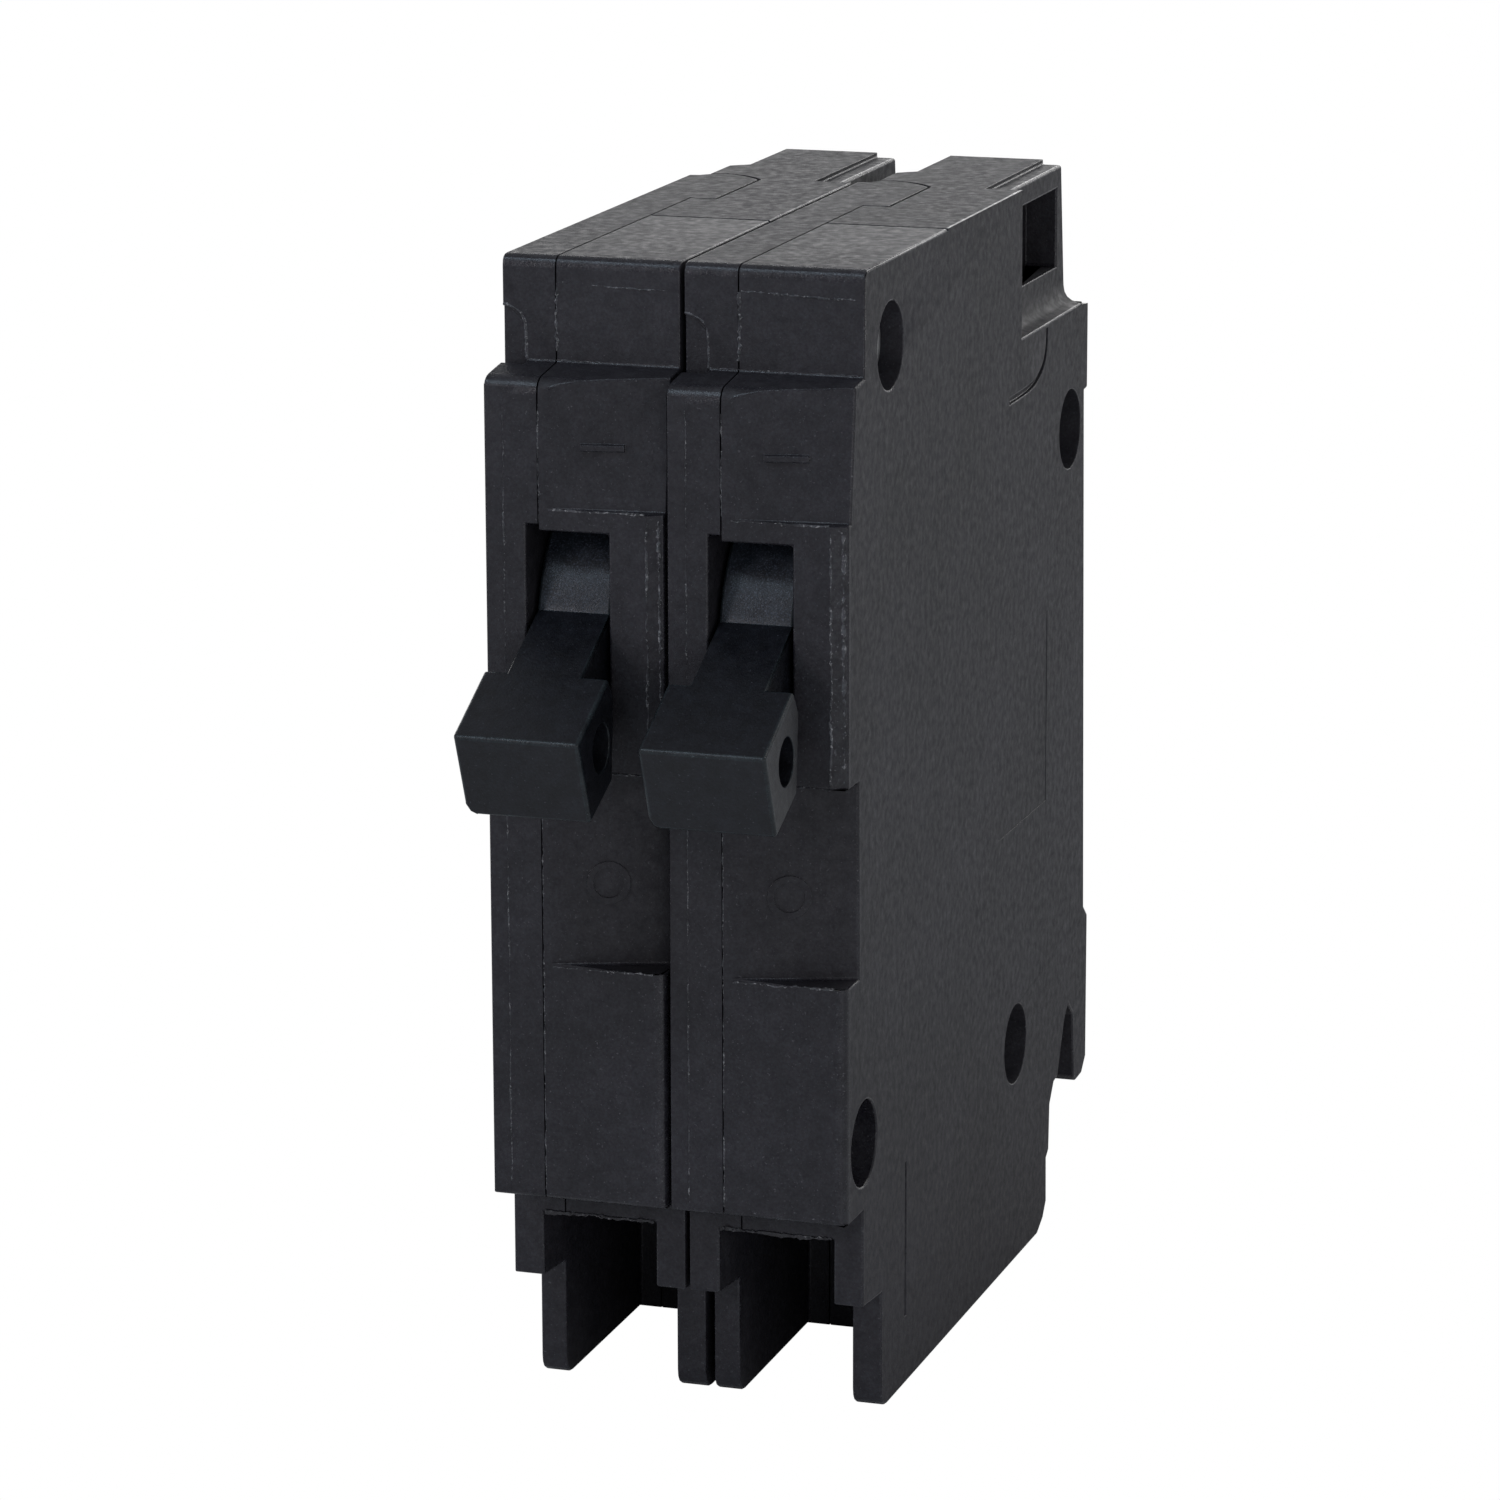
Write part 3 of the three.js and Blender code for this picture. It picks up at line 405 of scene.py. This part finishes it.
def flash(name, side, points, outward, width, height, wander, finish=flash_pale):
    """A ridge of triangular section along a path of (x, y, z) in millimetres from the left, front and top
    of a pole's shoulder. Its width and height change along the way by a random walk, and it dies out in
    places."""
    path = np.array(points, float)
    outward = np.array(outward, float)
    outward /= np.linalg.norm(outward)
    spans = np.linalg.norm(np.diff(path, axis=0), axis=1)
    run = np.concatenate(([0], np.cumsum(spans)))
    step, fewest = 0.22, 6
    count = max(int(run[-1] / step), fewest)
    at = np.linspace(0, run[-1], count)
    line = np.stack([np.interp(at, run, path[:, axis]) for axis in range(3)], 1)
    along = np.gradient(line, axis=0)
    along /= np.linalg.norm(along, axis=1)[:, None]
    sideways = np.cross(along, outward)
    line += sideways * (wander * ragged(count, 1))[:, None]
    alive = np.clip(0.75 + 1.1 * ragged(count, 1), 0, 1.6)[:, None]
    half = np.clip(width / 2 * (0.35 + 0.65 * alive), 0.015, None)
    rise = height * alive
    sunk = 0.03 * outward
    rows = np.stack([line - sideways * half - sunk, line + outward * rise, line + sideways * half - sunk], 1)
    shift = np.array([pole_left[side], shoulder_front, case_top])
    verts = (rows.reshape(-1, 3) + shift) * MM
    first = np.arange(count - 1)[:, None] * 3
    quads = np.concatenate([first + [0, 1, 4, 3], first + [1, 2, 5, 4]])
    mesh = bpy.data.meshes.new(name)
    mesh.from_pydata(verts.tolist(), [], quads.tolist())
    mesh.materials.append(finish)
    piece = bpy.data.objects.new(name, mesh)
    bpy.context.scene.collection.objects.link(piece)
    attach(piece, "root")


def level(left, right, y, z):
    """A straight path across a pole."""
    return [(left, y, z), (right, y, z)]


def upright(x, y, top, bottom):
    """A straight path down a pole."""
    return [(x, y, top), (x, y, bottom)]


front, front_and_up, front_and_down = (0, -1, 0), (0, -1, 0.6), (0, -1, -1)
nose, seam = -3.92, 3.85
scribe = [(0.05, 0, -3.35), (0.7, 0, -3.5), (1.3, 0, -3.85), (1.6, 0, -4.4), (1.68, 0, -5.2), (1.68, 0, -7.0)]
# The path of a painted highlight down the curved corner of the nose beside the handle.
highlight_streak = [(12.15, -3.58, -16.8), (12.2, -3.56, -20), (12.25, -3.54, -33.8)]
lip = level(2.3, 10.3, 0, -66.95)
for side in ("left", "right"):
    flash(f"{side}_shoulder_parting", side, [(4.0, 0, -1.75), (12.2, 0, -2.0)], front, 0.16, 0.06, 0.05)
    flash(f"{side}_shoulder_seam", side, upright(3.86, 0, -1.8, -6.4), front, 0.26, 0.1, 0.07)
    flash(f"{side}_panel_scribe", side, scribe, front, 0.2, 0.07, 0.03)
    flash(f"{side}_ledge_line", side, level(1.7, 12.1, 0, -7.02), front, 0.12, 0.05, 0.03)
    flash(f"{side}_cover_line", side, upright(1.35, nose, -9.2, -63.6), front, 0.12, 0.04, 0.03)
    flash(f"{side}_nose_seam", side, upright(seam, nose, -9.3, -17.4), front, 0.12, 0.05, 0.04)
    flash(f"{side}_low_seam", side, upright(seam, nose, -34.0, -64.0), front, 0.12, 0.04, 0.03)
    flash(f"{side}_on_ledge", side, level(4.5, 11.3, nose, -16.42), front_and_up, 0.16, 0.06, 0.05)
    flash(f"{side}_off_ledge", side, level(4.5, 11.7, nose, -48.05), front_and_up, 0.16, 0.06, 0.05)
    flash(f"{side}_frame_foot", side, level(4.5, 11.4, nose, -34.25), front, 0.12, 0.05, 0.04)
    flash(f"{side}_nose_foot", side, level(0.4, 11.9, nose + 0.25, -64.5), front_and_down, 0.2, 0.07, 0.06)
    flash(f"{side}_frame_line", side, upright(11.42, nose, -16.9, -33.9), front, 0.16, 0.05, 0.06)
    # A pale ridge down the curved corner of the nose: a painted highlight.
    flash(f"{side}_corner_highlight", side, highlight_streak, (0.4, -0.92, 0), 0.32, 0.07, 0.05)
    flash(f"{side}_pocket_lip", side, lip, front_and_down, 0.3, 0.12, 0.12, paler_black_and_highlight)
    flash(f"{side}_pocket_burr", side, lip, (0, -1, -0.4), 0.14, 0.07, 0.1)


# The metal pieces keep their own solids. Stampings are bare copper or zinc-plated steel with rolling
# marks, the springs and the bimetal are bronze coloured, and the contact buttons are dull silver.
def metal(name, dark, light, rough_low, rough_high, stretch):
    """Rolled sheet or wire: patches of tarnish, and fine scratches drawn out along one axis."""
    material, tree, shader = new_finish(name)
    place = tree.nodes.new("ShaderNodeTexCoord")
    drawn = tree.nodes.new("ShaderNodeMapping")
    drawn.inputs["Scale"].default_value = stretch
    tree.links.new(place.outputs["Object"], drawn.inputs["Vector"])
    lines = tree.nodes.new("ShaderNodeTexNoise")
    lines.inputs["Scale"].default_value = 900
    lines.inputs["Detail"].default_value = 5
    tree.links.new(drawn.outputs["Vector"], lines.inputs["Vector"])
    tarnish = ramp(tree, grain(tree, 500, 4), [(0.35, dark), (0.65, light)])
    gloss = remap(tree, lines.outputs["Fac"], 0.3, 0.7, rough_low, rough_high)
    tree.links.new(tarnish, shader.inputs["Base Color"])
    tree.links.new(gloss, shader.inputs["Roughness"])
    tree.links.new(bump(tree, lines.outputs["Fac"], 0.3, 0.00002), shader.inputs["Normal"])
    shader.inputs["Metallic"].default_value = 1
    return material


metals = {
    "copper": metal("copper_strip", (0.30, 0.10, 0.05), (0.56, 0.24, 0.12), 0.28, 0.5, (1, 0.1, 1)),
    "steel": metal("zinc_plated_steel", (0.38, 0.39, 0.40), (0.58, 0.58, 0.57), 0.3, 0.55, (1, 1, 0.1)),
    "silver": metal("contact_silver", (0.62, 0.61, 0.58), (0.80, 0.79, 0.76), 0.3, 0.5, (1, 1, 1)),
    "brass": metal("spring_bronze", (0.36, 0.25, 0.09), (0.58, 0.43, 0.18), 0.28, 0.48, (1, 1, 0.1)),
}
slot_of = {row["node"]: row["material_slot"] for row in frame["record"]["subparts"]}
rivet_nodes = [node for node in frame["nodes"] if node.startswith("rivet_")]
for node, piece in frame["nodes"].items():
    if slot_of[node] in metals and node not in rivet_nodes:
        piece.data.materials.clear()
        piece.data.materials.append(metals[slot_of[node]])


# The rivets: steel tubes through both poles, with each end rolled outward into a round bead that clamps
# the halves together at the bottom of its counterbore.
def bead(radius, inner, foot, crown, count):
    """Half of a rolled end as (radius, distance from the foot): out along the underside, then round over
    the crown on an ellipse, and back to the inner radius."""
    turn = np.linspace(0, np.pi, count)
    middle, reach = (radius + inner) / 2, (radius - inner) / 2
    return [(middle + reach * math.cos(t), foot + crown * (0.35 + 0.65 * math.sin(t))) for t in turn]


def turned(name, profile, centre, sides):
    """A surface of revolution about the X axis: a row of points at each of the sides, from a profile of
    (radius, x) in millimetres."""
    rows = np.array(profile)
    angle = np.linspace(0, 2 * np.pi, sides, endpoint=False)
    ring = np.stack([
        np.broadcast_to(rows[:, 1], (sides, len(rows))),
        np.cos(angle)[:, None] * rows[:, 0],
        np.sin(angle)[:, None] * rows[:, 0],
    ], 2)
    verts = (ring.reshape(-1, 3) + centre) * MM
    here = np.arange(sides)[:, None] * len(rows) + np.arange(len(rows) - 1)
    there = (np.arange(sides)[:, None] + 1) % sides * len(rows) + np.arange(len(rows) - 1)
    quads = np.stack([here, there, there + 1, here + 1], 2).reshape(-1, 4)
    mesh = bpy.data.meshes.new(name)
    mesh.from_pydata(verts.tolist(), [], quads.tolist())
    mesh.shade_smooth()
    mesh.set_sharp_from_angle(angle=math.radians(40))
    piece = bpy.data.objects.new(name, mesh)
    bpy.context.scene.collection.objects.link(piece)
    return piece


for node in rivet_nodes:
    corners = np.array([vert.co for vert in frame["nodes"][node].data.vertices]) / MM
    low, high = corners.min(0), corners.max(0)
    shank, bore, rim, tip, crown, bore_depth = 1.6, 1.0, 2.65, 0.88, 0.85, 3.2
    right_foot, left_foot = high[0] - tip, low[0] + tip
    right_end = bead(rim, bore, right_foot, crown, 13)
    left_end = [(radius, left_foot - (x - right_foot)) for radius, x in reversed(right_end)]
    profile = [
        (0.01, high[0] - bore_depth), (bore, high[0] - bore_depth), *reversed(right_end),
        (shank, right_foot + 0.05), (shank, left_foot - 0.05),
        *reversed(left_end), (bore, low[0] + bore_depth), (0.01, low[0] + bore_depth),
    ]
    centre = np.array([0, (low[1] + high[1]) / 2, (low[2] + high[2]) / 2])
    piece = turned(f"{node}_rolled", profile, centre, 40)
    piece.data.materials.append(metals["steel"])
    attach(piece, "root")
    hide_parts(node)
